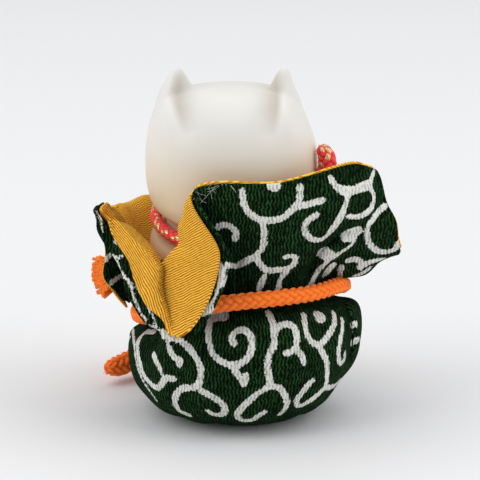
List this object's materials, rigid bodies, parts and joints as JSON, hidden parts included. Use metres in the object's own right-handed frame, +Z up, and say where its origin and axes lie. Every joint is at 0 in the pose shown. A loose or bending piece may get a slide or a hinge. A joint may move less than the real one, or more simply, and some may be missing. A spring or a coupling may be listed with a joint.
{
  "type": "shiba inu figurine",
  "caption": "White glazed ceramic shiba inu wrapped to the shoulders in a lined green crepe cloth, tied at the waist with an orange cord, with a red twisted collar and a bell.",
  "frame": {"origin": "on the flat underside, straight below the middle of the dog's head", "axes": "+Z up, the dog looks along -Y, +X to the dog's left"},
  "size_m": [0.0727, 0.067, 0.0814],
  "materials": {
    "glaze": "clear gloss glaze",
    "biscuit": "unglazed fired clay",
    "crepe": "green crepe with white vine scroll print",
    "lining": "mustard crepe",
    "waist_cord": "flat braid of round cords",
    "collar_cord": "braid with gold thread",
    "brass": "polished"
  },
  "bodies": {
    "figurine": {"dog_head": "glaze", "dog_body": "glaze", "dog_foot_ring": "biscuit", "wrapping_outer": "crepe", "wrapping_lining": "lining", "waist_cord_wrap": "waist_cord", "waist_cord_knot": "waist_cord", "waist_cord_tail_upper": "waist_cord", "waist_cord_tail_lower": "waist_cord", "waist_tuft_upper": "waist_cord", "waist_tuft_lower": "waist_cord", "collar_cord": "collar_cord", "collar_knot": "collar_cord", "collar_tail_rising": "collar_cord", "collar_tail_resting": "collar_cord", "collar_tuft_rising": "collar_cord", "collar_tuft_resting": "collar_cord"},
    "bell": {"bell_dome": "brass", "bell_bowl": "brass"},
    "pellet": {"bell_pellet": "brass"}
  },
  "joints": [
    {"name": "bell_swing", "type": "hinge", "parent": "figurine", "child": "bell", "pos_m": [0, -0.0174, 0.04998], "axis": [-1, 0, 0], "range_deg": [0, 35]},
    {"name": "pellet_rattle", "type": "slide", "parent": "bell", "child": "pellet", "axis": [0, 0.5, 0.866], "range_m": [0, 0.005]}
  ]
}
